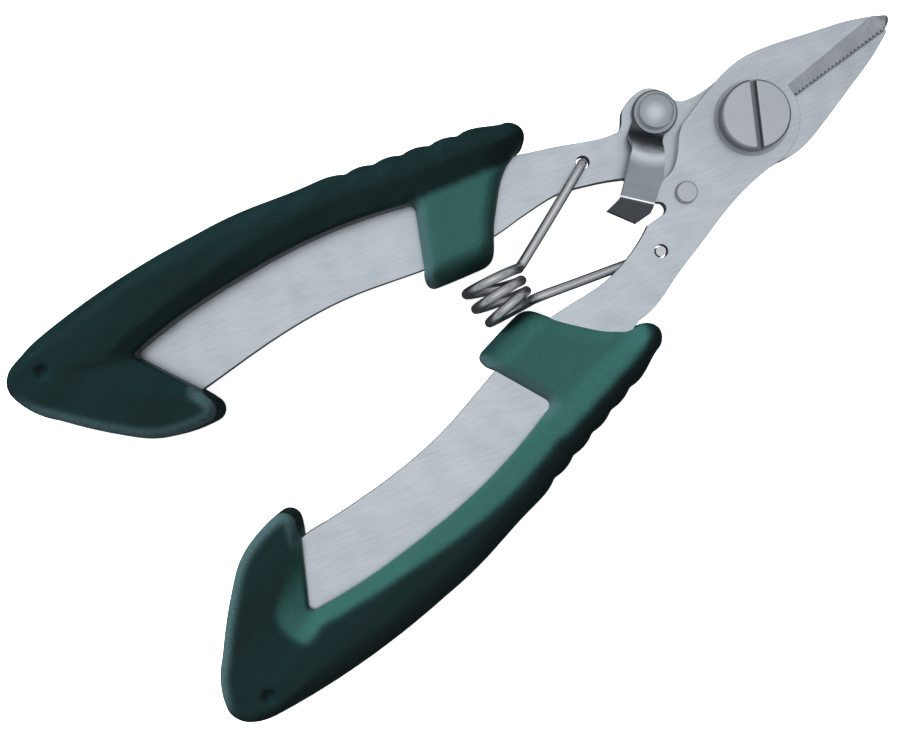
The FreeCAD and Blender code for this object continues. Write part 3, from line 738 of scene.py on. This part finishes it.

# ------------------------------------------------------------------ thumb latch
# A strip of 0.9 mm sheet, pressed with a step so that it rides over the front plate, with a tab
# # bent down at its end. Painted shade darkens it about its rivet and on the tab, and painted
# # highlights brighten it past the step and along the tab's bend. It swings on a polished domed
# # rivet over a thin washer.


def latch_steel():
    """The latch's finish: painted shade about the rivet and on the tab, a painted highlight past
    the step and at the tab's bend.
    """
    steel, tone, roughness, fine = satin_steel(
        "pressed latch steel", LATCH_LIGHT, LATCH_DARK, angle=132, rough=0.30, grain=0.18
    )
    offset = steel.offset(top_centre("latch_rivet"))
    away = steel.length(offset)
    # painted shade about the rivet, with a noisy edge
    shade_wobble = steel.noise(steel.place(), scale=600.0, detail=3.0) * (1.6 * MM)
    painted_shade = 1 - steel.band(away + shade_wobble, 5.4 * MM, 7.2 * MM)
    # painted highlight on a band past the step
    lit = steel.band(away, 5.8 * MM, 6.8 * MM) * (1 - steel.band(away, 6.8 * MM, 8.6 * MM))
    along = steel.reach(offset, LATCH_WAY)
    # painted highlight along the tab's bend; the bent-down tab itself is painted dark as shade
    tab = steel.band(along, BEND_REACH - 0.02 * MM, BEND_REACH + 0.08 * MM)
    bend = steel.band(along, BEND_REACH - 0.18 * MM, BEND_REACH - 0.08 * MM) * (1 - tab)
    rubbed = bend + lit * 0.35
    sheet = steel.blend(tab * 0.78, steel.blend(painted_shade * 0.88, tone, LATCH_SHADE), LATCH_SHADE)
    return steel.surface(
        Base_Color=steel.blend(rubbed * 0.9, sheet, LATCH_HIGHLIGHT),
        Metallic=1 - rubbed * 0.8,
        Roughness=roughness + painted_shade * 0.08,
        Normal=steel.relief(fine, strength=0.2, distance=0.00001),
    )


LATCH_LIGHT, LATCH_DARK = (0.38, 0.41, 0.44, 1.0), (0.24, 0.27, 0.30, 1.0)
# the latch's painted shade and painted highlight
LATCH_SHADE, LATCH_HIGHLIGHT = (0.075, 0.078, 0.084, 1.0), (0.80, 0.84, 0.88, 1.0)
# the latch's direction from its rivet, and how far along it the tab's bend lies
LATCH_ANGLE = math.radians(222)
LATCH_WAY = (math.cos(LATCH_ANGLE), math.sin(LATCH_ANGLE), 0.0)
BEND_REACH = 13.0 * MM
LATCH_EDGE, LATCH_FOLD, RIVET_EDGE = 0.08 * MM, 0.55 * MM, 0.05 * MM
RIVET_LIGHT, RIVET_DARK = (0.78, 0.83, 0.87, 1.0), (0.66, 0.71, 0.75, 1.0)
eased(
    "latch",
    "latch_strip",
    "thumb_latch",
    latch_steel(),
    LATCH_EDGE,
    fold=LATCH_FOLD,
)
dome_finish = turned_steel(
    "polished rivet steel",
    top_centre("latch_rivet"),
    RIVET_LIGHT,
    RIVET_DARK,
    pitch=1.1,
    rings=0.15,
    rough=0.36,
)
for node, finish in (("latch_rivet", dome_finish), ("latch_washer", washer_finish)):
    eased(node, node + "_turned", "back_half", finish, RIVET_EDGE)

# ------------------------------------------------------------------ stop pin
# A plain turned pin, pressed through the front plate, which stops the jaws when they close.

PIN_EDGE = 0.2 * MM
pin_finish = turned_steel(
    "turned pin steel", top_centre("stop_pin"), SCREW_LIGHT, SCREW_DARK, pitch=0.6, rings=0.3
)
eased(
    "stop_pin",
    "stop_pin_turned",
    "front_half",
    pin_finish,
    PIN_EDGE,
    segments=3,
)

# ------------------------------------------------------------------ return spring
# Drawn stainless wire: a hook in each tang, a straight leg from each and three loops between them,
# # which fan out because the closed handles load them. On the tool it bends as the handles open;
# # here it is one fixed mesh, on neither half.

# the wire's line, in millimetres, from the hook in the upper tang to the one in the lower
WIRE_RADIUS = 0.72
COIL_LEVEL = 5.0
UPPER_LEG = [
    (-22.6, 8.65, 3.4),
    (-22.6, 8.65, 5.2),
    (-23.3, 8.3, 5.9),
    (-30.6, 5.0, 5.9),
    (-37.4, 2.0, 4.6),
]
LOOP_ENDS = [
    (-38.7, 1.5),
    (-46.9, 2.8),
    (-39.3, -0.1),
    (-47.0, 0.3),
    (-39.6, -1.7),
    (-46.5, -2.4),
    (-39.7, -3.2),
]
LOWER_LEG = [
    (-38.3, -3.5, 5.9),
    (-33.0, -4.9, 5.1),
    (-27.0, -6.4, 4.2),
    (-22.0, -7.8, 4.2),
    (-21.1, -8.0, 5.0),
    (-21.1, -8.0, 6.7),
]
# points along each half of a loop
LOOP_POINTS = 10
WIRE_DARK, WIRE_LIGHT = (0.56, 0.57, 0.58, 1.0), (0.74, 0.76, 0.78, 1.0)

route = [Vector(point) for point in UPPER_LEG]
for number, (start, end) in enumerate(zip(LOOP_ENDS, LOOP_ENDS[1:])):
    first, last = Vector((*start, COIL_LEVEL)), Vector((*end, COIL_LEVEL))
    over = 1 if number % 2 == 0 else -1
    for step in range(LOOP_POINTS):
        turn = math.pi * step / LOOP_POINTS
        along = (first + last) / 2 + (first - last) / 2 * math.cos(turn)
        rise = over * (last - first).length / 2 * math.sin(turn)
        route.append(along + Vector((0, 0, rise)))
route.append(Vector((*LOOP_ENDS[-1], COIL_LEVEL)))
route += [Vector(point) for point in LOWER_LEG]

wire = bpy.data.curves.new("spring wire", "CURVE")
wire.dimensions = "3D"
wire.bevel_depth = WIRE_RADIUS * MM
wire.bevel_resolution = 5
wire.resolution_u = 6
wire.use_fill_caps = True
line = wire.splines.new("NURBS")
line.points.add(len(route) - 1)
for point, place in zip(line.points, route):
    point.co = (*(place * MM), 1.0)
line.order_u = 3
line.use_endpoint_u = True
drawn_line = named("spring line", wire)
tube = applied_mesh(drawn_line)
bpy.data.objects.remove(drawn_line)
spring = named("return_spring_wire", tube)
for face in tube.polygons:
    face.use_smooth = True

drawn = Finish("drawn spring wire")
streaks = drawn.noise(drawn.place(), scale=1500.0, detail=3.0)
spring_finish = drawn.surface(
    Base_Color=drawn.blend(streaks, WIRE_DARK, WIRE_LIGHT),
    Metallic=1.0,
    Roughness=streaks * 0.14 + 0.24,
    Normal=drawn.relief(streaks, strength=0.08, distance=0.00002),
)
tube.materials.clear()
tube.materials.append(spring_finish)
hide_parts("return_spring")
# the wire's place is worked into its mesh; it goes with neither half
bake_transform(spring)

# ------------------------------------------------------------------ floor, light and camera
# A glowing white sweep in a room that is dark at the horizon, with a bright band low on its walls
# and a white ceiling. One softbox stands to one side, and isn't mirrored in the steel. The camera
# looks straight down.

FLOOR_REACH, FLOOR_LEVEL = 3, -0.0001
FLOOR_WHITE, GLOW_WHITE, FLOOR_GLOW = (0.95, 0.95, 0.95, 1.0), (1.0, 1.0, 1.0, 1.0), 0.8
SOFTBOX_OFFSET, SOFTBOX_WIDTH, SOFTBOX_POWER = Vector((-0.20, 0.75, 0.5)), 0.5, 24
# how light the room is from the horizon up to the ceiling, and its slightly blue tint
ROOM_GREYS = ((0.0, 0.04), (0.30, 0.73), (0.58, 0.22), (0.78, 0.54), (0.90, 0.73))
ROOM_TINT, CEILING_WHITE = (0.97, 0.99, 1.02), (1.0, 1.0, 1.0, 1.0)
LENS_LENGTH, NEAREST, FARTHEST = 44.8, 0.005, 10
CAMERA_PLACE, CAMERA_TURN = (-0.0553, -0.0052, 0.164), math.radians(-35.0)

low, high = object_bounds()
middle = (low + high) / 2
floor_mesh = bpy.data.meshes.new("floor")
floor_mesh.from_pydata(
    [
        (x * FLOOR_REACH, y * FLOOR_REACH, FLOOR_LEVEL)
        for x, y in ((-1, -1), (1, -1), (1, 1), (-1, 1))
    ],
    [],
    [(0, 1, 2, 3)],
)
floor = named("floor", floor_mesh)
floor_mesh.materials.append(
    Finish("white paper").surface(
        Base_Color=FLOOR_WHITE,
        Roughness=0.9,
        Emission_Color=GLOW_WHITE,
        Emission_Strength=FLOOR_GLOW,
    )
)
floor.visible_glossy = False

light = bpy.data.lights.new("key", "AREA")
light.shape = "SQUARE"
light.size = SOFTBOX_WIDTH
light.energy = SOFTBOX_POWER
key = named("key", light)
key.location = middle + SOFTBOX_OFFSET
key.rotation_mode = "QUATERNION"
key.rotation_quaternion = (-SOFTBOX_OFFSET).to_track_quat("-Z", "Y")
key.visible_glossy = False

room = Finish("overhead diffuser in a dark room", kind="worlds", shader="Background")
upward = room.node(
    "ShaderNodeSeparateXYZ",
    None,
    {0: room.node("ShaderNodeTexCoord", output="Generated")},
    output="Z",
)
shades = [(place, (*(grey * tint for tint in ROOM_TINT), 1.0)) for place, grey in ROOM_GREYS]
shades.append((1.0, CEILING_WHITE))
bpy.context.scene.world = room.surface(
    Color=room.node("ShaderNodeValToRGB", {"stops": shades}, {0: upward}, output="Color")
)
bpy.context.scene.view_settings.view_transform = "Standard"

lens = bpy.data.cameras.new("camera")
lens.lens = LENS_LENGTH
lens.clip_start, lens.clip_end = NEAREST, FARTHEST
camera = named("camera", lens)
camera.location = CAMERA_PLACE
camera.rotation_euler = (0.0, 0.0, CAMERA_TURN)
bpy.context.scene.camera = camera
